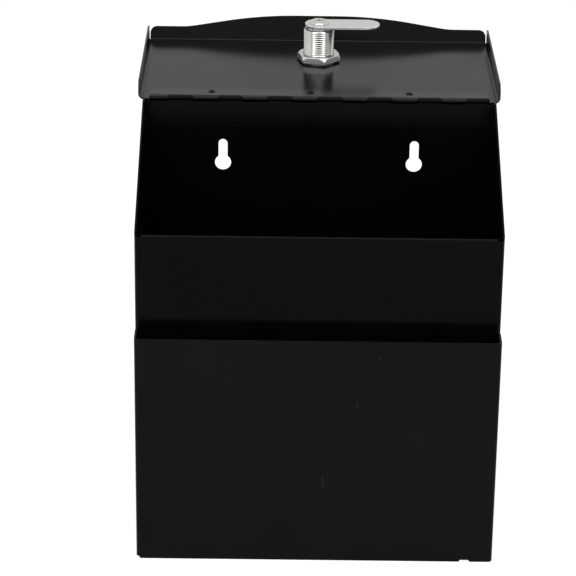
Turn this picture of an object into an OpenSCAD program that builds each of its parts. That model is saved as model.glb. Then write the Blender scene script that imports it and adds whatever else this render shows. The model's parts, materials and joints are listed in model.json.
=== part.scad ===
// Wall-mounted steel donation box with a front literature pocket, a lid on a
// piano hinge and a cam lock. The lid is drawn open, level and pointing back.
// X is the width, +Y points to the wall, +Z is up.
// The origin is the middle of the base.

/* [Body] */
// Outer width of the body
body_w = 216; // [170:1:300]
// Outer depth of the body, from the front panel to the wall
body_d = 108; // [90:1:140]
// Height of the front panel
front_h = 205; // [170:0.2:240]
// Height of the hinge pin above the base
hinge_h = 254.1; // [246:0.1:300]
// Thickness of the steel sheet
sheet_t = 1.2; // [0.8:0.1:1.6]
// Outside radius of the vertical bends
bend_r = 2.6; // [2:0.1:5]
// Height of the hem folded inwards along the top of the front panel
hem_h = 11; // [6:0.5:16]
// Gap inside the folded hem
hem_gap = 0.2; // [0.1:0.05:0.5]
// Width of the welding flanges of the inner sheets
weld_flange = 11; // [6:0.5:16]
// Radius of the relief notch at each end of the hem
relief_r = 1.4; // [0.8:0.1:2.5]

/* [Slot] */
// Length of the money slot in the right side panel
slot_l = 80; // [50:1:90]
// Height of the money slot
slot_h = 6; // [4:0.5:12]
// Height of the slot's middle above the base
slot_z = 157; // [120:1:160]

/* [Wall keyholes] */
// Distance between the two keyholes
key_spacing = 118; // [80:1:140]
// Diameter of the round entry of a keyhole
entry_d = 10; // [8:0.5:14]
// Width of the neck of a keyhole
neck_w = 5.6; // [4:0.1:7]
// Height from the entry's centre to the centre of the neck's end
neck_rise = 12.5; // [9:0.5:16]
// Depth of the entry's centre below the hinge pin
entry_drop = 42.7; // [30:0.1:60]

/* [Literature pocket] */
// Depth of the pocket in front of the front panel
pocket_d = 15; // [10:1:30]
// Height of the pocket
pocket_h = 145.5; // [90:0.5:160]
// Radius of the hanging notch in the pocket's bottom edge
notch_r = 3.3; // [2:0.1:5]
// Distance of the hanging notch from the pocket's right side
notch_in = 17; // [10:0.5:40]

/* [Lid] */
// Gap between the lid's side flanges and the body
side_gap = 2.1; // [1:0.1:4]
// Gap between the closed lid's front flange and the front panel
front_gap = 4.9; // [2:0.1:6]
// Gap between the closed lid and the side panels' top edges
seat_gap = 0.3; // [0.2:0.05:1]
// Inside radius of the lid's bends
lid_bend_r = 1.2; // [0.6:0.1:2]
// Height of the lid's side flanges
side_flange_h = 9.4; // [7:0.1:14]
// Length of the slanted cut at the hinge end of the side flanges
flange_cut = 9; // [6:0.5:16]
// Length of the cropped corners at the lid's hinge end
near_crop = 4.5; // [1:0.5:6]
// Height of the front flange at its two ends
front_flange_h = 8; // [6:0.1:12]
// Extra height of the arched tab in the middle of the front flange
tab_rise = 7.9; // [4:0.1:12]
// Distance from each end of the front flange to the foot of the tab
tab_inset = 20.5; // [14:0.5:30]
// Gap between each end of the front flange and the bend of the side flange
flange_relief = 0.3; // [0.2:0.05:2]
// Corner radius of the front flange
flange_corner = 4.5; // [2:0.5:6]

/* [Piano hinge] */
// Length of the hinge
hinge_len = 207.5; // [150:0.1:209.6]
// Sideways shift of the hinge from the middle
hinge_shift = 0.05; // [0:0.05:1]
// Outer diameter of the knuckles
knuckle_d = 3.5; // [3:0.1:4]
// Diameter of the hinge pin
pin_d = 1.6; // [1.2:0.1:2]
// Radial running clearance of the pin
pin_clear = 0.05; // [0.02:0.01:0.1]
// Distance between neighbouring knuckle joints
knuckle_pitch = 15.22; // [12:0.01:20]
// Length of the first knuckle, where the stock was cut
first_knuckle = 11.1; // [6:0.1:12]
// Gap between neighbouring knuckles
knuckle_gap = 0.4; // [0.2:0.05:0.8]
// Width of a hinge leaf from the pin
leaf_w = 19.2; // [17.5:0.1:30]
// Thickness of a hinge leaf
leaf_t = 0.9; // [0.6:0.1:1.2]
// Clearance of a leaf round the other leaf's knuckles
leaf_clear = 1; // [0.3:0.1:1.2]
// Distance of the rivet row from the pin
rivet_row = 14.5; // [10:0.1:16.5]
// Number of hinge knuckles between neighbouring rivets
rivet_step = 4; // [3:1:4]
// Distance of the middle rivet to the left of the middle
rivet_shift = 5.4; // [0:0.1:8]
// Depth of the side panels' cropped rear corners below the pin's axis
corner_drop = 0.6; // [0:0.1:2]

/* [Rivets] */
// Shank diameter of a rivet
rivet_d = 3; // [2.4:0.1:3.4]
// Head diameter of a rivet
rivet_head_d = 5.6; // [4.6:0.1:6.5]
// Height of a rivet head
rivet_head_h = 1; // [0.6:0.1:1.4]
// Outer diameter of a rivet's rolled end
rivet_roll_d = 4.4; // [4:0.1:5]
// Height of a rivet's rolled end
rivet_roll_h = 0.4; // [0.2:0.1:0.8]
// Bore diameter of a rivet's rolled end
rivet_bore_d = 2; // [1.4:0.1:2.2]
// Diameter of the sunk head on a rivet that ends flush with the back
rivet_sink_d = 4.8; // [4:0.1:5.4]
// Depth of the sunk head
rivet_sink_h = 0.7; // [0.5:0.05:0.8]

/* [Cam lock] */
// Distance of the lock's axis from the lid's front fold
lock_from_fold = 40; // [38:0.5:44]
// Diameter of the lock's thread
thread_d = 19.2; // [18:0.1:20]
// Depth of the thread
thread_depth = 0.7; // [0.4:0.05:0.9]
// Pitch of the thread
thread_pitch = 1.4; // [1:0.1:2]
// Width across the two flats of the barrel
flats_w = 18.2; // [15:0.1:18.6]
// Angle of the flats' normals from the lid's width
flats_turn = 90; // [0:1:90]
// Length of the barrel above the lid's inner face
barrel_h = 22.1; // [20:0.1:24]
// Diameter of the barrel's outside flange
bezel_d = 22.6; // [21:0.1:26]
// Thickness of the barrel's outside flange
bezel_t = 2.6; // [2:0.1:4]
// Clearance between the barrel and the hole in the lid
barrel_clear = 0.15; // [0.1:0.05:0.3]
// Width of the nut across its flats
nut_af = 25; // [23:0.5:27]
// Height of the nut
nut_h = 4; // [3:0.1:6]
// Turn of the nut on the barrel
nut_turn = -15; // [-30:1:30]
// Outer diameter of the washer under the nut
washer_d = 22; // [21:0.5:24]
// Thickness of the washer under the nut
washer_t = 1.1; // [0.5:0.1:1.5]
// Diameter of the plug
plug_d = 12.6; // [12.2:0.1:13]
// Radial running clearance of the plug in the barrel
plug_clear = 0.06; // [0.02:0.01:0.1]
// Depth of the plug's face inside the barrel's face
plug_recess = 0.4; // [0.2:0.1:0.8]
// Width across the plug's square drive
drive_w = 7; // [6:0.1:7.5]
// Diameter of the stop washer
stop_d = 15; // [14:0.1:15.6]
// Thickness of the stop washer
stop_t = 0.9; // [0.7:0.1:1.2]
// Turn of the cam from unlocked to locked
cam_turn = 90; // [60:5:90]

/* [Cam] */
// Distance from the lock's axis to the cam's tip
cam_reach = 38.6; // [34:0.1:40]
// Width of the cam's arm
cam_w = 17; // [12:0.5:17.5]
// Radius of the cam's round hub
cam_hub_r = 8.9; // [8.7:0.1:10]
// Thickness of the cam
cam_t = 1.9; // [1.5:0.1:2.5]
// Diameter of the cam screw's head
screw_head_d = 12.4; // [10:0.1:13]
// Height of the cam screw's head
screw_head_h = 1.8; // [1.5:0.1:3.5]
// Diameter of the cam screw's shank
screw_d = 4; // [3:0.5:5]
// Depth of the cam screw in the plug
screw_depth = 3.6; // [3:0.1:4]

/* [Latch strike] */
// Width of the strike
strike_w = 40; // [30:1:60]
// Thickness of the strike
strike_t = 1.5; // [1.2:0.1:2]
// Gap between the cam and the strike
strike_gap = 0.5; // [0.3:0.1:0.7]
// Overlap of the cam under the strike
strike_lap = 9; // [6:0.5:12]
// Height of the strike's welded leg
strike_leg = 16; // [12:0.5:24]

/* [Keys] */
// Width of a key's blade
blade_w = 6.6; // [5.6:0.1:7]
// Thickness of a key's blade
blade_t = 1.8; // [1.4:0.1:2]
// Length of a blade inside the plug
blade_l = 18.5; // [16:0.5:19]
// Clearance round the blade in the plug
blade_clear = 0.2; // [0.1:0.05:0.3]
// Width of the blade's shoulder
shoulder_w = 9; // [8:0.1:10]
// Length of the blade's shoulder outside the plug
shoulder_l = 6.5; // [4:0.5:8]
// Width of a key's head
head_w = 22; // [21:0.5:26]
// Height of a key's head
head_h = 25.6; // [23:0.1:28]
// Thickness of a key's head
head_t = 3.6; // [3:0.1:5]
// Taper of the head's sides towards its round end
head_taper = 0.9; // [0:0.1:1.2]
// Width of the web between the head's hole and its end
head_web = 2.8; // [2.4:0.1:3.4]
// Width of the arched hole in a key's head
ring_hole_w = 13.4; // [12:0.2:13.6]
// Height of the arched hole in a key's head
ring_hole_h = 5.2; // [5:0.1:6]
// Mean diameter of the key ring
ring_d = 20.4; // [18:0.2:26]
// Thickness of the key ring's section
ring_wire = 1.2; // [1:0.1:1.3]
// Free play from the middle of a head's web to the ring's inside
ring_play = 2.4; // [2.4:0.05:2.6]

/* [Hidden] */
$fn = 64;

paint = "#1b1b1d";
nickel = "#c9cacc";
brass = "#c2a45a";
black_plastic = "#151515";

// A cut goes past the faces that it opens by this much
cut = 1;

// Body
inner_w = body_w - 2 * sheet_t;
front_y = -body_d / 2;
back_y = body_d / 2;
front_in = front_y + sheet_t;
back_in = back_y - sheet_t;
fold_r = sheet_t + hem_gap / 2;

// Hinge: the pin's axis, and the lid's slope when it lies on the side panels
knuckle_r = knuckle_d / 2;
pin_y = back_in - knuckle_r;
pin_z = hinge_h;
pin_bore = pin_d + 2 * pin_clear;
edge_lift = knuckle_r - seat_gap;
edge_run = norm([pin_y - front_y, pin_z - front_h]);
slope = atan2(pin_z - front_h, pin_y - front_y) + asin(edge_lift / edge_run);
closed_turn = 180 + slope;
hinge_x0 = hinge_shift - hinge_len / 2;
hinge_x1 = hinge_shift + hinge_len / 2;
knuckle_n = ceil((hinge_len - first_knuckle) / knuckle_pitch) + 1;
rivet_x = [for (i = [-1:1]) i * rivet_step * knuckle_pitch - rivet_shift];

// Lid, measured from the pin's axis with the lid open: y along it, z through it
lid_in = -knuckle_r;
lid_out = lid_in - sheet_t;
lid_w = body_w + 2 * (side_gap + sheet_t);
lid_near = knuckle_r + 0.15;
lid_fold = (pin_y - front_y + front_gap + lid_in * sin(slope)) / cos(slope);
lock_y = pin_y + lid_fold - lock_from_fold;
lid_face = pin_z + lid_in;
outer_bend = lid_bend_r + sheet_t;
flange_w = lid_w - 2 * (sheet_t + flange_relief);

// Rear top corners: the open lid rests just above back_top, behind rear_y
back_top = pin_z + lid_out - 0.1;
rear_y = pin_y + lid_near - 0.4;
rear_top = pin_z - corner_drop;

// Lock, measured up from the lid's inner face
thread_r = thread_d / 2;
stop_z = barrel_h;
cam_z = stop_z + stop_t;
screw_z = cam_z + cam_t;
bezel_z = -sheet_t - bezel_t;
plug_z = bezel_z + plug_recess;
drive_top = screw_z - 0.2;
tab_r = thread_r - thread_depth;
wafer_n = 5;
wafer_t = 0.7;
wafer_w = 5.4;
wafer_pitch = 2.9;
wafer_z = plug_z + 4;
spring_d = 1.2;
spring_l = 2.6;
wafer_slack = 0.05;

// Key, measured down from the plug's face
head_z = -shoulder_l;
head_end = head_z - head_h;
tang_l = 12;
hole_low = head_end + head_web;
head_arc_r = head_w / 2 - head_taper;
arc_mid = head_end + head_arc_r;
ring_r = ring_d / 2;
ring_inside = ring_r - ring_wire / 2;
web_mid = head_end + head_web / 2;
ring_mid = web_mid + ring_play - ring_inside;
spare_web_mid = ring_mid - ring_inside + ring_play;
spare_end = spare_web_mid + head_web / 2;

// Height of the side panels' top edge at a depth y, and its depth at a height z
function edge_z(y) = front_h + (y - front_y) * tan(slope);
function edge_y(z) = front_y + (z - front_h) / tan(slope);

// Share of the tab's height at a share u of its half width: flat, round, straight, round
tab_flat = 0.15;
tab_round = 0.68;
tab_straight = 0.9;
tab_k = 1 / ((tab_round - tab_flat) / 2 + (tab_straight - tab_round) + (1 - tab_straight) / 2);
function tab_share(u) =
    u <= tab_flat ? 1 :
    u <= tab_round ? 1 - tab_k * pow(u - tab_flat, 2) / (2 * (tab_round - tab_flat)) :
    u <= tab_straight ? tab_k * ((1 - tab_straight) / 2 + tab_straight - u) :
    tab_k * pow(1 - u, 2) / (2 * (1 - tab_straight));

// A block that spans x0 to x1, y0 to y1 and z0 to z1
module span(x0, x1, y0, y1, z0, z1) {
    translate([x0, y0, z0]) cube([x1 - x0, y1 - y0, z1 - z0]);
}

// A round bar along X, centred on x
module bar_x(d, l) {
    rotate([0, 90, 0]) cylinder(d = d, h = l, center = true);
}

// A column with its two front corners rounded
module round_column(w, y0, y1, h, r) {
    span(-w / 2 + r, w / 2 - r, y0, y1, 0, h);
    span(-w / 2, w / 2, y0 + r, y1, 0, h);
    for (side = [-1, 1]) {
        translate([side * (w / 2 - r), y0 + r, 0]) cylinder(r = r, h = h);
    }
}

// A folded sheet, open at the back: a front wall and two side walls
module folded_wall(w, y0, y1, h, t, r) {
    difference() {
        round_column(w, y0, y1, h, r);
        translate([0, 0, -cut]) round_column(w - 2 * t, y0 + t, y1 + cut, h + 2 * cut, r - t);
    }
}

// A plate in the Y-Z plane from a list of [y, z] points, spanning x0 to x1
module side_plate(points, x0, x1) {
    translate([x0, 0, 0]) rotate([90, 0, 90]) linear_extrude(x1 - x0) polygon(points);
}

// A slot along Y with round ends, cut through along X
module slot_cut(l, h) {
    rotate([0, 90, 0]) {
        cube([h, l - h, 8 * sheet_t], center = true);
        for (end = [-1, 1]) {
            translate([0, end * (l - h) / 2, 0]) cylinder(d = h, h = 8 * sheet_t, center = true);
        }
    }
}

module shell_walls() {
    top = rear_top + cut;
    intersection() {
        folded_wall(body_w, front_y, back_y, top, sheet_t, bend_r);
        side_plate([[front_y - cut, 0], [back_y, 0], [back_y, back_top], [rear_y, back_top],
            [rear_y, rear_top], [edge_y(rear_top), rear_top], [front_in, edge_z(front_in)],
            [front_in, front_h - fold_r], [front_y - cut, front_h - fold_r]], -body_w / 2, body_w / 2);
    }
}

// The hem: a round fold along the top of the front panel and its inner leg
module front_hem() {
    half = body_w / 2 - bend_r - relief_r;
    difference() {
        union() {
            translate([0, front_y + fold_r, front_h - fold_r]) bar_x(2 * fold_r, 2 * half);
            span(-half, half, front_in + hem_gap, front_y + 2 * fold_r, front_h - hem_h, front_h - fold_r);
        }
        span(-half - cut, half + cut, front_in, front_in + hem_gap, front_h - hem_h - cut, front_h - fold_r);
        translate([0, front_y + fold_r, front_h - fold_r]) bar_x(hem_gap, 2 * half + cut);
    }
}

module body_shell() {
    color(paint) difference() {
        union() {
            shell_walls();
            front_hem();
        }
        for (side = [-1, 1]) {
            translate([side * (body_w / 2 - bend_r), front_y, front_h])
                rotate([90, 0, 0]) cylinder(r = relief_r, h = 6 * sheet_t, center = true);
        }
        translate([body_w / 2, 0, slot_z]) slot_cut(slot_l, slot_h);
    }
}

module keyhole_cut() {
    rotate([90, 0, 0]) {
        cylinder(d = entry_d, h = 4 * sheet_t, center = true);
        translate([-neck_w / 2, 0, -2 * sheet_t]) cube([neck_w, neck_rise, 4 * sheet_t]);
        translate([0, neck_rise, 0]) cylinder(d = neck_w, h = 4 * sheet_t, center = true);
    }
}

module back_panel() {
    flange_y = back_in - weld_flange;
    flange_low = sheet_t + weld_flange + 2;
    flange_end = leaf_w / 3;
    color(paint) difference() {
        union() {
            span(-inner_w / 2, inner_w / 2, back_in, back_y, 0, back_top);
            for (x = [-inner_w / 2, inner_w / 2 - sheet_t]) {
                side_plate([[flange_y, flange_low], [back_in, flange_low],
                    [back_in, back_top - flange_end], [flange_y, edge_z(flange_y) - flange_end]],
                    x, x + sheet_t);
            }
        }
        for (side = [-1, 1]) {
            translate([side * key_spacing / 2, back_y - sheet_t / 2, pin_z - entry_drop]) keyhole_cut();
        }
        for (x = rivet_x) {
            translate([x, back_y, pin_z - rivet_row]) rotate([90, 0, 0]) {
                cylinder(d = rivet_d, h = 4 * sheet_t, center = true);
                rivet_sink();
            }
        }
    }
}

module bottom_panel() {
    x1 = inner_w / 2;
    low = sheet_t;
    high = sheet_t + weld_flange;
    corner = bend_r;
    color(paint) {
        span(-x1, x1, front_in + corner, back_in, 0, low);
        span(-x1 + corner, x1 - corner, front_in, front_in + corner, 0, low);
        for (y = [front_in, back_in - sheet_t]) {
            span(-x1 + corner, x1 - corner, y, y + sheet_t, low, high);
        }
        for (x = [-x1, x1 - sheet_t]) {
            span(x, x + sheet_t, front_in + corner, back_in - corner, low, high);
        }
    }
}

module literature_pocket() {
    y0 = front_y - pocket_d;
    x1 = body_w / 2;
    corner = bend_r;
    color(paint) difference() {
        union() {
            folded_wall(body_w, y0, front_y, pocket_h, sheet_t, bend_r);
            span(-x1 + corner, x1 - corner, y0 + sheet_t, front_y, 0, sheet_t);
            span(-x1 + weld_flange + 2, x1 - weld_flange - 2, front_y - sheet_t, front_y,
                sheet_t, sheet_t + weld_flange);
            for (x = [-x1 + sheet_t, x1 - weld_flange]) {
                span(x, x + weld_flange - sheet_t, front_y - sheet_t, front_y, sheet_t + 2, pocket_h - pocket_d);
            }
        }
        translate([x1 - notch_in, y0, 0.8 - notch_r / 2]) rotate([90, 0, 0]) {
            cylinder(r = notch_r, h = 2 * (sheet_t + 1), center = true);
        }
        translate([-x1 + 1, y0, 0]) rotate([90, 0, 0]) cylinder(r = 1.4, h = 6 * sheet_t, center = true);
    }
}

module latch_strike() {
    leg_z = lid_in + cam_z - strike_gap;
    leg_root = (pin_y - front_in + leg_z * sin(slope)) / cos(slope);
    leg_l = leg_root - (lock_y - pin_y + cam_reach - strike_lap);
    root_z = pin_z - leg_root * sin(slope) - leg_z * cos(slope);
    root = [front_in, root_z];
    tip = root + leg_l * [cos(slope), sin(slope)];
    color(nickel) side_plate([root - [0, strike_leg], root + [strike_t, -strike_leg],
        root + [strike_t, strike_t * tan(slope)], tip, tip + strike_t * [-sin(slope), cos(slope)],
        root + [0, strike_t / cos(slope)]], -strike_w / 2, strike_w / 2);
}

// Spans the knuckles of one leaf: the lid has the even ones, the body the odd ones
module knuckle_row(first, grow) {
    for (i = [first:2:knuckle_n - 1]) {
        x0 = i == 0 ? hinge_x0 : hinge_x0 + first_knuckle + (i - 1) * knuckle_pitch;
        x1 = min(hinge_x1, hinge_x0 + first_knuckle + i * knuckle_pitch);
        translate([(x0 + x1) / 2, 0, 0]) scale_x(x1 - x0 + grow) children();
    }
}

// Draws a unit shape as a bar or a block of the given length along X
module scale_x(l) {
    $len_x = l;
    children();
}

module knuckles(first) {
    knuckle_row(first, -knuckle_gap) bar_x(knuckle_d, $len_x);
}

// Room that one leaf leaves round the other leaf's knuckles
module knuckle_room(first) {
    side = knuckle_d + 2 * leaf_clear;
    knuckle_row(first, knuckle_gap) cube([$len_x, side, side], center = true);
}

// A hinge leaf lying along +Y, with the pin's axis on the X axis. Its plate is level with
// the bottom of the knuckles for side -1, with their top for side 1.
module hinge_leaf(own, other, side) {
    low = side * (knuckle_r - leaf_t / 2) - leaf_t / 2;
    difference() {
        union() {
            difference() {
                span(hinge_x0, hinge_x1, 0, leaf_w, low, low + leaf_t);
                knuckle_room(other);
            }
            knuckles(own);
        }
        translate([hinge_shift, 0, 0]) bar_x(pin_bore, hinge_len + cut);
        for (x = rivet_x) {
            translate([x, rivet_row, 0]) cylinder(d = rivet_d, h = 4 * knuckle_r, center = true);
        }
    }
}

module lid_hinge_leaf() {
    color(paint) translate([0, pin_y, pin_z]) hinge_leaf(0, 1, -1);
}

module body_hinge_leaf() {
    color(paint) translate([0, pin_y, pin_z]) rotate([-90, 0, 0]) hinge_leaf(1, 0, 1);
}

module hinge_pin() {
    color(nickel) translate([hinge_shift, pin_y, pin_z]) bar_x(pin_d, hinge_len + 0.6);
}

// A tubular rivet's shank and rolled end, along Z, through a leaf above z = 0 and a sheet below it.
// Its outer head is the child.
module rivet() {
    difference() {
        union() {
            translate([0, 0, -sheet_t]) cylinder(d = rivet_d, h = sheet_t + leaf_t);
            translate([0, 0, leaf_t]) cylinder(d = rivet_roll_d, h = rivet_roll_h);
            translate([0, 0, -sheet_t]) children();
        }
        cylinder(d = rivet_bore_d, h = leaf_t + rivet_roll_h + cut);
    }
}

// The sunk outer head of a rivet, above z = 0
module rivet_sink() {
    cylinder(d1 = rivet_sink_d, d2 = rivet_d, h = rivet_sink_h);
}

// The rounded outer head of a rivet, below z = 0
module rivet_dome() {
    r = (pow(rivet_head_d / 2, 2) + pow(rivet_head_h, 2)) / (2 * rivet_head_h);
    intersection() {
        translate([0, 0, r - rivet_head_h]) sphere(r = r);
        translate([0, 0, -rivet_head_h]) cylinder(d = rivet_head_d, h = rivet_head_h);
    }
}

module lid_leaf_rivets() {
    color(paint) for (x = rivet_x) {
        translate([x, pin_y + rivet_row, lid_face]) rivet() rivet_dome();
    }
}

module body_leaf_rivets() {
    color(paint) for (x = rivet_x) {
        translate([x, back_in, pin_z - rivet_row]) rotate([90, 0, 0]) rivet() rivet_sink();
    }
}

// A quarter bend along X, from level to upright, about the X axis
module quarter_bend(l) {
    rotate([90, 0, 90]) linear_extrude(l, center = true) difference() {
        intersection() {
            circle(r = outer_bend);
            translate([0, -outer_bend - cut]) square(outer_bend + cut);
        }
        circle(r = lid_bend_r);
    }
}

// The front fold along X: a bend about the X axis by an angle, and a straight leg after it
module front_fold(turn, leg) {
    steps = 12;
    along = leg * [cos(turn), sin(turn)];
    function on_arc(r, i) = r * [sin(turn * i / steps), -cos(turn * i / steps)];
    rotate([90, 0, 90]) linear_extrude(flange_w, center = true) polygon(concat(
        [for (i = [0:steps]) on_arc(outer_bend, i)],
        [on_arc(outer_bend, steps) + along, on_arc(lid_bend_r, steps) + along],
        [for (i = [steps:-1:0]) on_arc(lid_bend_r, i)]));
}

// Outline of the front flange, z up from the bend
module flange_outline() {
    half = flange_w / 2;
    tab_half = half - tab_inset;
    low = front_flange_h;
    steps = 28;
    difference() {
        polygon(concat([[-half, 0]], [[-half, low]],
            [for (i = [-steps:steps]) [i / steps * tab_half, low + tab_rise * tab_share(abs(i / steps))]],
            [[half, low]], [[half, 0]]));
        for (side = [-1, 1]) {
            translate([side * half, low]) rotate(side < 0 ? 270 : 180) corner_cut(flange_corner);
        }
    }
}

// What a corner of radius r loses; the corner is at the origin, the plate along +X and +Y
module corner_cut(r) {
    difference() {
        translate([-cut, -cut]) square(r + cut);
        translate([r, r]) circle(r = r);
    }
}

// The lid's tray in the open lid's own frame, with the pin's axis on the X axis
module lid_tray() {
    half = lid_w / 2;
    bend_z = lid_in + lid_bend_r;
    turn = 90 - slope;
    flat_end = lid_fold - lid_bend_r * tan(turn / 2);
    top = lid_in + side_flange_h;
    difference() {
        union() {
            span(-half + outer_bend, half - outer_bend, lid_near, flat_end, lid_out, lid_in);
            for (side = [-1, 1]) {
                translate([side * (half - outer_bend), (lid_near + flat_end) / 2, bend_z])
                    rotate([0, 0, -side * 90]) quarter_bend(flat_end - lid_near);
                span(side < 0 ? -half : half - sheet_t, side < 0 ? -half + sheet_t : half,
                    lid_near, flat_end, bend_z, top);
            }
            translate([0, flat_end, bend_z]) difference() {
                front_fold(turn, front_flange_h + tab_rise + cut);
                rotate([turn - 90, 0, 0]) translate([0, outer_bend + cut, 0]) rotate([90, 0, 0])
                    linear_extrude(sheet_t + 2 * cut) difference() {
                        translate([-flange_w, front_flange_h - flange_corner]) square(2 * flange_w);
                        flange_outline();
                    }
            }
        }
        side_plate([[lid_near - cut, lid_in + 0.6], [lid_near + 1, lid_in + 0.6],
            [lid_near + flange_cut, top + 0.01], [lid_near + flange_cut, top + cut], [lid_near - cut, top + cut]],
            -half - cut, half + cut);
        for (side = [-1, 1]) {
            translate([side * half, lid_near, lid_out - cut]) rotate(45)
                cube([sqrt(2) * near_crop, sqrt(2) * near_crop, 2 * top], center = true);
            translate([side * (half - 0.2), flat_end, bend_z])
                cube([2 * outer_bend, 2 * flange_relief, 4 * outer_bend], center = true);
        }
        translate([0, lock_y - pin_y, lid_out]) rotate(flats_turn)
            flatted_bar(thread_r + barrel_clear, flats_w + 2 * barrel_clear, -cut, sheet_t + cut);
        for (x = rivet_x) {
            translate([x, rivet_row, lid_out]) cylinder(d = rivet_d, h = 4 * sheet_t, center = true);
        }
    }
}

module lid_panel() {
    color(paint) translate([0, pin_y, pin_z]) lid_tray();
}

// A round bar with two flats, from z0 to z1
module flatted_bar(r, w, z0, z1) {
    intersection() {
        translate([0, 0, z0]) cylinder(r = r, h = z1 - z0);
        translate([-w / 2, -r - cut, z0]) cube([w, 2 * (r + cut), z1 - z0]);
    }
}

module at_lock() {
    translate([0, lock_y, lid_face]) children();
}

// The thread's ridges as one turned shape, from z0 to z1
module ridges(z0, z1) {
    n = floor((z1 - z0) / thread_pitch);
    r0 = thread_r - thread_depth;
    rotate_extrude() polygon(concat([[0, z0], [r0, z0]],
        [for (i = [0:n - 1], step = [0.5, 1]) [step == 1 ? r0 : thread_r, z0 + (i + step) * thread_pitch]],
        [[r0, z1], [0, z1]]));
}

module lock_barrel() {
    plug_hole = plug_d + 2 * plug_clear;
    color(nickel) at_lock() difference() {
        union() {
            rotate(flats_turn) intersection() {
                ridges(-sheet_t, barrel_h);
                flatted_bar(thread_r + cut, flats_w, -sheet_t, barrel_h);
            }
            translate([0, 0, bezel_z]) cylinder(d = bezel_d, h = bezel_t);
        }
        translate([0, 0, bezel_z - cut]) cylinder(d = plug_hole, h = bezel_t + barrel_h + 3 * cut + sheet_t);
        stop_room();
        springs(0.1);
    }
}

// Room for the stop tab's travel in the barrel's end, and 12 degrees past it each way
module stop_room() {
    spare = 12;
    reach = 2 * thread_d;
    translate([0, 0, barrel_h - 1.3]) intersection() {
        cylinder(r = thread_r + cut, h = 3);
        linear_extrude(3) polygon([[0, 0], reach * [cos(spare), -sin(spare)],
            reach * [cos(cam_turn / 2), sin(cam_turn / 2)],
            reach * [cos(cam_turn + spare), sin(cam_turn + spare)]]);
    }
}

module lock_nut() {
    color(nickel) at_lock() translate([0, 0, washer_t]) rotate(nut_turn) difference() {
        intersection() {
            cylinder(d = nut_af / cos(30), h = nut_h, $fn = 6);
            translate([0, 0, -nut_h]) cylinder(r1 = nut_af / 2 + 2.4 + nut_h, r2 = nut_af / 2 + 0.4, h = 2 * nut_h);
        }
        translate([0, 0, -cut]) cylinder(r = thread_r + 0.1, h = nut_h + 2 * cut);
    }
}

module lock_washer() {
    color(nickel) at_lock() difference() {
        cylinder(d = washer_d, h = washer_t);
        translate([0, 0, -cut]) cylinder(r = thread_r + 0.2, h = washer_t + 2 * cut);
    }
}

module lock_plug() {
    color(brass) at_lock() difference() {
        union() {
            translate([0, 0, plug_z]) cylinder(d = plug_d, h = stop_z - plug_z);
            translate([-drive_w / 2, -drive_w / 2, stop_z]) cube([drive_w, drive_w, drive_top - stop_z]);
        }
        keyway(plug_z - cut, plug_z + blade_l + 0.5);
        wafers(wafer_slack);
        springs(0.1);
        translate([0, 0, screw_z - screw_depth - 0.4]) cylinder(d = screw_d, h = 3 * screw_depth);
    }
}

// The slot in the plug for the key's blade
module keyway(z0, z1) {
    w = blade_w + 2 * blade_clear;
    t = blade_t + 2 * blade_clear;
    span(-w / 2, w / 2, -t / 2, t / 2, z0, z1);
}

// The row of wafers across the plug, grown by a slack on each side
module wafers(slack) {
    reach = sqrt(pow(plug_d / 2, 2) - pow(wafer_w / 2, 2)) - 0.15;
    for (i = [0:wafer_n - 1]) {
        translate([0, 0, wafer_z + i * wafer_pitch]) cube([2 * reach + 2 * slack, wafer_w + 2 * slack,
            wafer_t + 2 * slack], center = true);
    }
}

module wafer_tumblers() {
    color(brass) at_lock() difference() {
        wafers(0);
        keyway(plug_z - cut, plug_z + blade_l + 1);
    }
}

// The springs beside the wafers, as closed cylinders of their outer size
module springs(slack) {
    for (i = [0:wafer_n - 1]) {
        translate([4.4, 0, wafer_z + i * wafer_pitch + wafer_t / 2 + spring_d / 2 + 0.2]) rotate([90, 0, 0])
            cylinder(d = spring_d + 2 * slack, h = spring_l + 2 * slack, center = true, $fn = 24);
    }
}

module tumbler_springs() {
    color(nickel) at_lock() springs(0);
}

module stop_washer() {
    hole = drive_w + 0.1;
    color(nickel) at_lock() translate([0, 0, stop_z]) difference() {
        union() {
            cylinder(d = stop_d, h = stop_t);
            translate([stop_d / 2 - 1, -1.4, -1]) cube([tab_r + 1 - stop_d / 2, 2.8, stop_t + 1]);
        }
        translate([-hole / 2, -hole / 2, -2]) cube([hole, hole, 4]);
    }
}

module cam() {
    hole = drive_w + 0.1;
    arm = cam_reach - cam_w / 2;
    color(nickel) at_lock() translate([0, 0, cam_z]) difference() {
        union() {
            cylinder(r = cam_hub_r, h = cam_t);
            translate([0, -cam_w / 2, 0]) cube([arm, cam_w, cam_t]);
            translate([arm, 0, 0]) cylinder(d = cam_w, h = cam_t);
        }
        translate([-hole / 2, -hole / 2, -cut]) cube([hole, hole, cam_t + 2 * cut]);
    }
}

module cam_screw() {
    edge = 0.9;
    color(nickel) at_lock() translate([0, 0, screw_z]) difference() {
        union() {
            cylinder(d = screw_head_d, h = edge);
            translate([0, 0, edge]) cylinder(d1 = screw_head_d, d2 = screw_head_d - 3, h = screw_head_h - edge);
            translate([0, 0, -screw_depth]) cylinder(d = screw_d - 0.02, h = screw_depth);
        }
        for (turn = [0, 90]) {
            rotate(turn) translate([-3, -0.55, screw_head_h - 1.5]) cube([6, 1.1, 3]);
        }
    }
}

// Half width of the cut blade at a share u of its length from the tip
function bitting(u) = blade_w / 2 - 0.45 + 0.35 * sin(u * 900);

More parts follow.
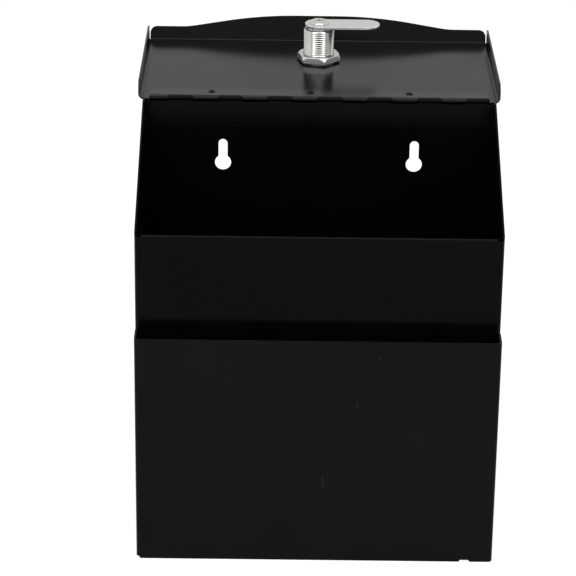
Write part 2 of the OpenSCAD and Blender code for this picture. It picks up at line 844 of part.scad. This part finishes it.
// A blade whose shoulder rests on z = 0 and whose tip points up
module blade() {
    steps = 36;
    start = 0.12;
    points = [for (i = [0:steps]) let (u = start + (1 - start) * i / steps) [bitting(u), blade_l * (1 - u)]];
    tip = [blade_w / 2 - 2, blade_l];
    half = concat([tip], points);
    difference() {
        union() {
            rotate([90, 0, 0]) linear_extrude(blade_t, center = true) polygon(concat(
                half, [for (i = [len(half) - 1:-1:0]) [-half[i][0], half[i][1]]]));
            span(-shoulder_w / 2, shoulder_w / 2, -blade_t / 2, blade_t / 2, head_z, 0);
            span(-blade_w / 2, blade_w / 2, -blade_t / 2, blade_t / 2, head_z - tang_l, head_z);
        }
        for (side = [-1, 1]) {
            span(0.6, 1.8, side * blade_t / 2 - 0.45, side * blade_t / 2 + 0.45, -2, blade_l + cut);
        }
    }
}

// The plastic head below the shoulder: square at the blade, round at its end
module head() {
    half = head_w / 2;
    edge = 1.2;
    steps = 32;
    difference() {
        rotate([90, 0, 0]) linear_extrude(head_t, center = true) difference() {
            polygon(concat([[-half, head_z - edge], [-half + edge, head_z], [half - edge, head_z],
                [half, head_z - edge]],
                [for (i = [0:steps]) [0, arc_mid] + head_arc_r * [cos(180 * i / steps), -sin(180 * i / steps)]]));
            head_hole();
        }
        span(-blade_w / 2, blade_w / 2, -blade_t / 2, blade_t / 2, head_z - tang_l, head_z + cut);
    }
}

// The arched hole for the ring, with a low bump on its straight side
module head_hole() {
    top = hole_low + ring_hole_h;
    bump_r = 3.2;
    bump_h = 1.1;
    difference() {
        intersection() {
            translate([0, arc_mid]) circle(r = head_arc_r - head_web);
            translate([-ring_hole_w / 2, hole_low - cut]) square([ring_hole_w, ring_hole_h + cut]);
        }
        translate([0, top + bump_r - bump_h]) circle(r = bump_r);
    }
}

module at_plug_face() {
    at_lock() translate([0, 0, plug_z]) children();
}

module at_spare() {
    at_plug_face() translate([0, 0, spare_end]) rotate([0, 180, 0]) translate([0, 0, -head_end])
        children();
}

module key_blade() {
    color(nickel) at_plug_face() blade();
}

module key_head() {
    color(black_plastic) at_plug_face() head();
}

module spare_key_blade() {
    color(nickel) at_spare() blade();
}

module spare_key_head() {
    color(black_plastic) at_spare() head();
}

module key_ring() {
    color(nickel) at_plug_face() translate([0, 0, ring_mid]) rotate([0, 90, 0]) rotate_extrude() {
        translate([ring_r, 0]) square([ring_wire, 2 * ring_wire - 0.4], center = true);
    }
}

body_shell();
back_panel();
bottom_panel();
literature_pocket();
latch_strike();
body_hinge_leaf();
hinge_pin();
body_leaf_rivets();
lid_panel();
lid_hinge_leaf();
lid_leaf_rivets();
lock_barrel();
lock_nut();
lock_washer();
lock_plug();
wafer_tumblers();
tumbler_springs();
stop_washer();
cam();
cam_screw();
key_blade();
key_head();
key_ring();
spare_key_blade();
spare_key_head();
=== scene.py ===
import json
import math

import bpy
from mathutils import Matrix, Vector


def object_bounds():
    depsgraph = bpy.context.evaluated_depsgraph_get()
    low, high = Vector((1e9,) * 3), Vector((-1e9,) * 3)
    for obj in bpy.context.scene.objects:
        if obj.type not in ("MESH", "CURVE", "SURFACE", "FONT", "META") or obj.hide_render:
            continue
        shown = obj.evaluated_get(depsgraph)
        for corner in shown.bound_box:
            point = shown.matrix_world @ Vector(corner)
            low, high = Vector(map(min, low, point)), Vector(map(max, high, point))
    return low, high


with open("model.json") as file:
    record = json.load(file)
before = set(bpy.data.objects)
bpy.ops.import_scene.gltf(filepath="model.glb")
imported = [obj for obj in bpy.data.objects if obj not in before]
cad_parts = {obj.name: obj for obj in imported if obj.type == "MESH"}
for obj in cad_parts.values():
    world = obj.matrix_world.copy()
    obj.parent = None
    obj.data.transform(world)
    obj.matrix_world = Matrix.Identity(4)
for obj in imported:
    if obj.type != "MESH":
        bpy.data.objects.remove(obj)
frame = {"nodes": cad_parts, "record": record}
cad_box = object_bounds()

MM = 0.001

# ---------------------------------------------------------------- camera
# Place in metres, angles in radians and lens in millimetres, fitted to the box's own edges
CAMERA_PLACE = (-0.0209, -1.4325, 0.7641)
CAMERA_TILT = math.radians(66.732)
CAMERA_YAW = -0.0083
CAMERA_ROLL = 0.0155
CAMERA_LENS = 159.93
CAMERA_SHIFT = (-0.0253, 0.0053)
CAMERA_FAR = 50.0

# ---------------------------------------------------------------- studio
FLOOR_SIZE = 9.0
FLOOR_GRAIN = 4 * MM
FLOOR_DEEP = (0.14, 0.14, 0.14)       # what the floor's light on the object comes from
FLOOR_PALE = (0.16, 0.16, 0.16)
PAPER_SHADE = (0.35, 0.35, 0.35)      # the floor as it is seen: this takes the shadow,
PAPER_GLOW = 0.84                     # and this makes up the rest of the white
WHITE = (1.0, 1.0, 1.0)

# Strength of the room's light on the viewer's side and behind the object, and the values of
# the direction's Y between which one turns into the other
ROOM_FRONT = 0.06
ROOM_BACK = 0.62
ROOM_TURN = (-0.35, 0.55)

# Soft lamps: name, place, target, width and height, radiance. None stands for the box's middle.
LAMPS = (
    ("overhead", (0.0, -0.18, 1.75), (0.0, -0.18, 0.2), (1.6, 0.85), 3.4),
    ("front_top", (0.0, -0.9, 1.65), None, (1.8, 0.5), 1.4),
    ("front_left", (-0.9, -0.9, 1.1), None, (0.35, 1.0), 2.0),
    ("front_right", (0.8, -1.0, 1.0), None, (0.30, 1.0), 1.6),
    ("front_fill", (0.0, -1.75, 0.5), None, (2.4, 0.36), 1.6),
    ("card_left", (-0.5, 0.14, 0.22), (0.0, 0.14, 0.22), (0.35, 0.42), 1.2),
    ("card_right", (0.5, 0.14, 0.22), (0.0, 0.14, 0.22), (0.35, 0.42), 1.2),
)

# ---------------------------------------------------------------- paint
# Specular level of the black paint on each part
BODY_GLOSS = 0.05
LID_GLOSS = 0.12
LID_LEAF_GLOSS = 0.17
BODY_LEAF_GLOSS = 0.06
PIN_GLOSS = 0.06

PAINT_DEEP = (0.0035, 0.0035, 0.0038)
PAINT_PALE = (0.0060, 0.0060, 0.0064)
PAINT_SHADE = 0.7                     # both colours are multiplied by this
POCKET_SHADE = 2.6
RUB_COLOUR = (0.075, 0.075, 0.075)
# Painted shade: the lid's paint behind the hinge knuckles turns to the dark colour below, for the
# shadow in that crevice, and gets the roughness after it
CREVICE_SHADE_COLOUR = (0.0008, 0.0008, 0.0008)
DULL_ROUGHNESS = 0.9
SHADE_AND_DULL_DEPTH = 2.6 * MM                 # from the hinge pin's axis to where the lid's painted shade and dullness end
SHADE_AND_DULL_FADE = 0.2 * MM

# Three rubs on the pocket's front: x, z, lean, length, half width and bow, in metres
POCKET_RUBS = (
    (0.0044, 0.0527, 0.05, 0.0095, 0.00035, -0.0012),
    (0.0237, 0.1042, 0.12, 0.0050, 0.00030, 0.0),
    (0.0365, 0.1350, 0.85, 0.0028, 0.00030, 0.0),
)

# ---------------------------------------------------------------- rounding
# Rounding of each node's sharp edges, in millimetres; a node that isn't named keeps its edges.
EDGE_ROUNDING = {
    "body_shell": 0.12, "back_panel": 0.2, "bottom_panel": 0.2, "literature_pocket": 0.25,
    "latch_strike": 0.2, "body_hinge_leaf": 0.06, "lid_panel": 0.2, "lid_hinge_leaf": 0.06,
    "lock_nut": 0.25, "lock_washer": 0.1, "lock_plug": 0.1, "stop_washer": 0.1,
    "cam": 0.35, "cam_screw": 0.15, "key_head": 0.45, "spare_key_head": 0.45,
    "key_blade": 0.1, "spare_key_blade": 0.1, "hinge_pin": 0.15,
}
# Nodes with very short edges, where a full rounding would fold over itself
SHORT_EDGES = ("literature_pocket", "hinge_pin")
WELD_DISTANCE = 0.002 * MM
SHARP_ANGLE = math.radians(32)
ROUNDING_SEGMENTS = 2
NORMAL_WEIGHT = 60


# ---------------------------------------------------------------- materials
class Graph:
    """A new node material, with short calls that add nodes and join them."""

    def __init__(self, name):
        self.material = bpy.data.materials.new(name)
        self.material.use_nodes = True
        self.tree = self.material.node_tree
        self.shader = self.tree.nodes["Principled BSDF"]
        self.output = self.tree.nodes["Material Output"]
        self.place = self.node("ShaderNodeTexCoord").outputs["Object"]

    def node(self, kind, inputs=None, **settings):
        """Adds a node; inputs are values or other nodes' outputs, settings its own fields."""
        made = self.tree.nodes.new(kind)
        for key, value in settings.items():
            setattr(made, key, value)
        for key, value in (inputs or {}).items():
            self.put(made.inputs[key], value)
        return made

    def put(self, socket, value):
        """Joins an output to a socket, or sets the socket's own value."""
        if isinstance(value, bpy.types.NodeSocket):
            self.tree.links.new(value, socket)
        elif isinstance(value, tuple) and len(value) == 3 and socket.type == "RGBA":
            socket.default_value = (*value, 1.0)
        else:
            socket.default_value = value

    def set(self, **values):
        """Sets the main shader's sockets; an underscore in a name stands for a space."""
        for key, value in values.items():
            self.put(self.shader.inputs[key.replace("_", " ")], value)

    def math(self, operation, a, b=0.0):
        """Works out one operation on two numbers."""
        made = self.node("ShaderNodeMath", operation=operation)
        self.put(made.inputs[0], a)
        self.put(made.inputs[1], b)
        return made.outputs[0]

    def stretched(self, scale):
        """The place with each axis scaled, for a pattern that is longer one way."""
        return self.node("ShaderNodeMapping", {"Vector": self.place, "Scale": scale}).outputs[0]

    def noise(self, size, detail=2.0, rough=0.5, place=None):
        """Soft noise from 0 to 1 with patches of about this size in metres."""
        made = self.node("ShaderNodeTexNoise", {
            "Vector": place or self.place, "Scale": 1.0 / size, "Detail": detail,
            "Roughness": rough})
        return made.outputs["Fac"]

    def spread(self, value, low, high, start=0.3, end=0.7):
        """Maps start..end to low..high."""
        made = self.node("ShaderNodeMapRange", {
            "Value": value, "From Min": start, "From Max": end, "To Min": low, "To Max": high})
        return made.outputs[0]

    def blend(self, fac, a, b):
        """Mixes two colours: a where fac is 0, and b where it is 1."""
        made = self.node("ShaderNodeMix", data_type="RGBA")
        self.put(made.inputs["Factor"], fac)
        self.put(made.inputs[6], a)
        self.put(made.inputs[7], b)
        return made.outputs[2]

    def bump(self, height, distance, after=None):
        """A normal raised by height times distance in metres, on top of another bump."""
        made = self.node("ShaderNodeBump", {"Height": height, "Distance": distance,
                                            "Strength": 1.0})
        if after is not None:
            self.put(made.inputs["Normal"], after)
        return made.outputs[0]


def scratch(g, x, z, lean, length, width, bow):
    """A fine rub on the pocket's front: 1 on the line and 0 off it. Sizes in metres."""
    place = g.node("ShaderNodeSeparateXYZ", {"Vector": g.place})
    right = g.math("SUBTRACT", place.outputs["X"], x)
    up = g.math("SUBTRACT", place.outputs["Z"], z)
    along = g.math("ADD", g.math("MULTIPLY", up, math.cos(lean)),
                   g.math("MULTIPLY", right, math.sin(lean)))
    across = g.math("SUBTRACT", g.math("MULTIPLY", right, math.cos(lean)),
                    g.math("MULTIPLY", up, math.sin(lean)))
    share = g.math("DIVIDE", along, length / 2)
    share = g.math("MULTIPLY", share, share)
    across = g.math("SUBTRACT", across, g.math("MULTIPLY", share, bow))
    near = g.spread(g.math("ABSOLUTE", across), 1.0, 0.0, start=0.3 * width, end=width)
    inside = g.spread(share, 1.0, 0.0, start=0.5, end=1.0)
    return g.math("MULTIPLY", near, inside)


def hinge_grime():
    """The pin between the knuckles: dull, and darker than the paint as painted shade, for the
    shadow in the gaps between the knuckles.
    """
    g = Graph("hinge_grime")
    shade_blotch = g.noise(0.8 * MM, detail=3.0)
    # painted shade: the pin's colour is darker than the paint, for the shadow in the gaps between
    # the knuckles
    g.set(Base_Color=g.blend(shade_blotch, (0.0012, 0.0012, 0.0013), (0.0030, 0.0029, 0.0028)),
          Roughness=g.spread(shade_blotch, 0.55, 0.8),
          Specular_IOR_Level=PIN_GLOSS)
    return g.material


def black_paint(name="black_paint", shade=PAINT_SHADE, gloss=BODY_GLOSS, rubs=(),
                shade_and_dull_before=None):
    """Black powder coat: orange peel, a fine grain, a slightly uneven gloss and fine rubs.
    Below a given Y the paint is dull, and its colour is darkened as painted shade, for the shadow
    in the crevice behind the hinge knuckles."""
    g = Graph(name)
    peel = g.noise(2.2 * MM, detail=1.5)
    grain = g.noise(0.5 * MM, detail=2.0)
    cloud = g.noise(38 * MM, detail=3.0)
    deep = tuple(shade * channel for channel in PAINT_DEEP)
    pale = tuple(shade * channel for channel in PAINT_PALE)
    colour = g.blend(cloud, deep, pale)
    for rub in rubs:
        colour = g.blend(scratch(g, *rub), colour, RUB_COLOUR)
    rough = g.math("ADD", g.spread(cloud, 0.15, 0.22), g.spread(grain, -0.02, 0.02))
    if shade_and_dull_before is not None:
        depth = g.node("ShaderNodeSeparateXYZ", {"Vector": g.place}).outputs["Y"]
        fade = {"start": shade_and_dull_before, "end": shade_and_dull_before + SHADE_AND_DULL_FADE}
        # painted shade: the colour turns dark before the given Y, for the shadow behind the hinge
        # knuckles
        colour = g.blend(g.spread(depth, 0.0, 1.0, **fade), CREVICE_SHADE_COLOUR, colour)
        rough = g.math("MAXIMUM", rough, g.spread(depth, DULL_ROUGHNESS, 0.0, **fade))
    g.set(Base_Color=colour,
          Roughness=rough,
          Specular_IOR_Level=gloss,
          Normal=g.bump(grain, 0.004 * MM, after=g.bump(peel, 0.03 * MM)))
    return g.material


def bright_nickel():
    """Polished nickel plate with faint handling marks."""
    g = Graph("bright_nickel")
    cloud = g.noise(6 * MM, detail=3.0)
    rubs = g.noise(0.35 * MM, detail=2.0, place=g.stretched((1.0, 0.15, 1.0)))
    g.set(Base_Color=g.blend(cloud, (0.58, 0.57, 0.55), (0.70, 0.69, 0.67)),
          Metallic=1.0,
          Roughness=g.spread(cloud, 0.10, 0.20),
          Normal=g.bump(rubs, 0.003 * MM))
    return g.material


def satin_nickel():
    """The cam's and the keys' plate: softly blasted, with a fine grain."""
    g = Graph("satin_nickel")
    grain = g.noise(0.18 * MM, detail=3.0, rough=0.6)
    cloud = g.noise(9 * MM, detail=2.0)
    g.set(Base_Color=g.blend(cloud, (0.64, 0.64, 0.63), (0.72, 0.72, 0.71)),
          Metallic=1.0,
          Roughness=g.spread(grain, 0.26, 0.38),
          Normal=g.bump(grain, 0.006 * MM))
    return g.material


def zinc_plate():
    """Dull zinc with a faint crystal pattern."""
    g = Graph("zinc_plate")
    crystal = g.node("ShaderNodeTexVoronoi", {"Vector": g.place, "Scale": 900.0}).outputs["Color"]
    g.set(Base_Color=g.blend(crystal, (0.42, 0.43, 0.45), (0.56, 0.57, 0.58)),
          Metallic=1.0,
          Roughness=g.spread(g.noise(1 * MM), 0.30, 0.45))
    return g.material


def machined_brass():
    """Stamped brass with fine parallel marks."""
    g = Graph("machined_brass")
    marks = g.noise(0.3 * MM, place=g.stretched((0.1, 1.0, 1.0)))
    g.set(Base_Color=g.blend(marks, (0.62, 0.42, 0.16), (0.76, 0.55, 0.25)),
          Metallic=1.0,
          Roughness=g.spread(marks, 0.22, 0.36),
          Normal=g.bump(marks, 0.004 * MM))
    return g.material


def black_plastic():
    """Moulded satin plastic with a fine spark texture and rubbed gloss."""
    g = Graph("black_plastic")
    spark = g.noise(0.25 * MM, detail=3.0, rough=0.65)
    rubbed = g.noise(7 * MM, detail=2.0)
    g.set(Base_Color=g.blend(rubbed, (0.010, 0.010, 0.011), (0.018, 0.018, 0.019)),
          Roughness=g.math("ADD", g.spread(rubbed, 0.34, 0.46), g.spread(spark, -0.04, 0.04)),
          Normal=g.bump(spark, 0.012 * MM))
    return g.material


def floor_white():
    """Pale floor. The camera and mirror images see it as white paper, which keeps the object's
    soft shadow; the light that it throws on the object is a grey floor's."""
    g = Graph("floor_white")
    g.tree.nodes.remove(g.shader)
    grain = g.noise(FLOOR_GRAIN, detail=2.0)
    plain = g.node("ShaderNodeBsdfDiffuse", {"Color": g.blend(grain, FLOOR_DEEP, FLOOR_PALE)})
    shadow = g.node("ShaderNodeBsdfDiffuse", {"Color": PAPER_SHADE})
    glow = g.node("ShaderNodeEmission", {"Color": WHITE, "Strength": PAPER_GLOW})
    paper = g.node("ShaderNodeAddShader")
    g.put(paper.inputs[0], shadow.outputs[0])
    g.put(paper.inputs[1], glow.outputs[0])
    ray = g.node("ShaderNodeLightPath")
    mirror = g.math("MAXIMUM", ray.outputs["Is Glossy Ray"],
                    ray.outputs["Is Transmission Ray"])
    mix = g.node("ShaderNodeMixShader")
    g.put(mix.inputs[0], g.math("MAXIMUM", ray.outputs["Is Camera Ray"], mirror))
    g.put(mix.inputs[1], plain.outputs[0])
    g.put(mix.inputs[2], paper.outputs[0])
    g.put(g.output.inputs["Surface"], mix.outputs[0])
    return g.material


# The hinge pin's axis: the lid's dull edge with its painted shade, in its cut-outs round the
# knuckles, ends past it.
JOINTS = {joint["name"]: joint for joint in frame["record"]["behaviour"]["joints"]}
PIN_Y = JOINTS["lid_hinge"]["pos_m"][1]

# Finish of each material slot, and the nodes that differ from their slot's
SATIN = satin_nickel()
FINISH = {
    "black_paint": black_paint(),
    "nickel": bright_nickel(),
    "zinc": zinc_plate(),
    "brass": machined_brass(),
    "black_plastic": black_plastic(),
}
OWN_FINISH = {
    "literature_pocket": black_paint("pocket_paint", shade=POCKET_SHADE, rubs=POCKET_RUBS),
    # the pin's dark colour is painted shade in the gaps between the knuckles
    "hinge_pin": hinge_grime(),
    # the lid's paint carries painted shade behind the hinge knuckles
    "lid_panel": black_paint("lid_paint", gloss=LID_GLOSS, shade_and_dull_before=PIN_Y + SHADE_AND_DULL_DEPTH),
    "lid_hinge_leaf": black_paint("lid_leaf_paint", gloss=LID_LEAF_GLOSS),
    "body_hinge_leaf": black_paint("body_leaf_paint", gloss=BODY_LEAF_GLOSS),
    "cam": SATIN,
    "lock_nut": SATIN,
    "key_blade": SATIN,
    "spare_key_blade": SATIN,
}


def round_edges(piece, width, clamp):
    """Welds the split corners of a CAD mesh and rounds its sharp edges, by modifiers only."""
    weld = piece.modifiers.new("weld", "WELD")
    weld.merge_threshold = WELD_DISTANCE
    bevel = piece.modifiers.new("round", "BEVEL")
    bevel.width = width
    bevel.segments = ROUNDING_SEGMENTS
    bevel.limit_method = "ANGLE"
    bevel.angle_limit = SHARP_ANGLE
    bevel.use_clamp_overlap = clamp
    bevel.miter_outer = "MITER_ARC"
    smooth = piece.modifiers.new("smooth", "WEIGHTED_NORMAL")
    smooth.keep_sharp = True
    smooth.weight = NORMAL_WEIGHT


def dress_nodes():
    """Gives every CAD node its own finish or its material slot's, and rounds the edges of the
    nodes listed in EDGE_ROUNDING.
    """
    slots = {row["node"]: row["material_slot"] for row in frame["record"]["subparts"]}
    for name, piece in frame["nodes"].items():
        finish = OWN_FINISH.get(name, FINISH[slots[name]])
        for slot in piece.material_slots:
            slot.material = finish
        if name in EDGE_ROUNDING:
            round_edges(piece, EDGE_ROUNDING[name] * MM, name in SHORT_EDGES)


# ---------------------------------------------------------------- studio
def aim(thing, target):
    """Turns a lamp so that it looks at a point."""
    way = Vector(target) - thing.location
    thing.rotation_euler = way.to_track_quat("-Z", "Y").to_euler()


def softbox(name, place, target, size, radiance):
    """A rectangular soft lamp of even brightness."""
    lamp = bpy.data.lights.new(name, "AREA")
    lamp.shape = "RECTANGLE"
    lamp.size, lamp.size_y = size
    lamp.energy = radiance * math.pi * size[0] * size[1]
    thing = bpy.data.objects.new(name, lamp)
    thing.location = place
    bpy.context.scene.collection.objects.link(thing)
    aim(thing, target)


def room():
    """The world: white to the camera and in mirror images. The light that it throws on the
    object is dark on the viewer's side and bright behind the object."""
    world = bpy.data.worlds.new("studio")
    world.use_nodes = True
    nodes, links = world.node_tree.nodes, world.node_tree.links
    nodes.clear()
    way = nodes.new("ShaderNodeTexCoord")
    axes = nodes.new("ShaderNodeSeparateXYZ")
    links.new(way.outputs["Generated"], axes.inputs[0])
    ramp = nodes.new("ShaderNodeMapRange")
    ramp.inputs["From Min"].default_value, ramp.inputs["From Max"].default_value = ROOM_TURN
    ramp.inputs["To Min"].default_value = ROOM_FRONT
    ramp.inputs["To Max"].default_value = ROOM_BACK
    links.new(axes.outputs["Y"], ramp.inputs["Value"])
    light = nodes.new("ShaderNodeBackground")
    links.new(ramp.outputs[0], light.inputs["Strength"])
    white = nodes.new("ShaderNodeBackground")
    white.inputs["Strength"].default_value = 1.0
    ray = nodes.new("ShaderNodeLightPath")
    mirror, sees = nodes.new("ShaderNodeMath"), nodes.new("ShaderNodeMath")
    mirror.operation = sees.operation = "MAXIMUM"
    links.new(ray.outputs["Is Glossy Ray"], mirror.inputs[0])
    links.new(ray.outputs["Is Transmission Ray"], mirror.inputs[1])
    links.new(ray.outputs["Is Camera Ray"], sees.inputs[0])
    links.new(mirror.outputs[0], sees.inputs[1])
    mix = nodes.new("ShaderNodeMixShader")
    for source, socket in zip((sees, light, white), mix.inputs):
        links.new(source.outputs[0], socket)
    out = nodes.new("ShaderNodeOutputWorld")
    links.new(mix.outputs[0], out.inputs["Surface"])
    bpy.context.scene.world = world


def studio():
    """Floor, world and lamps."""
    bpy.ops.mesh.primitive_plane_add(size=FLOOR_SIZE)
    floor = bpy.context.object
    floor.name = "floor"
    floor.data.materials.append(floor_white())
    room()
    low, high = cad_box
    middle = (low + high) / 2
    for name, place, target, size, radiance in LAMPS:
        softbox(name, place, target or middle, size, radiance)


def camera():
    """The photo's view: from the front, above and a little left of the middle."""
    lens = bpy.data.cameras.new("camera")
    lens.lens = CAMERA_LENS
    lens.shift_x, lens.shift_y = CAMERA_SHIFT
    lens.clip_end = CAMERA_FAR
    thing = bpy.data.objects.new("camera", lens)
    turn = (Matrix.Rotation(CAMERA_YAW, 4, "Z") @ Matrix.Rotation(CAMERA_TILT, 4, "X")
            @ Matrix.Rotation(CAMERA_ROLL, 4, "Z"))
    thing.matrix_world = Matrix.Translation(CAMERA_PLACE) @ turn
    bpy.context.scene.collection.objects.link(thing)
    bpy.context.scene.camera = thing
    bpy.context.scene.view_settings.view_transform = "Standard"


camera()
dress_nodes()
studio()
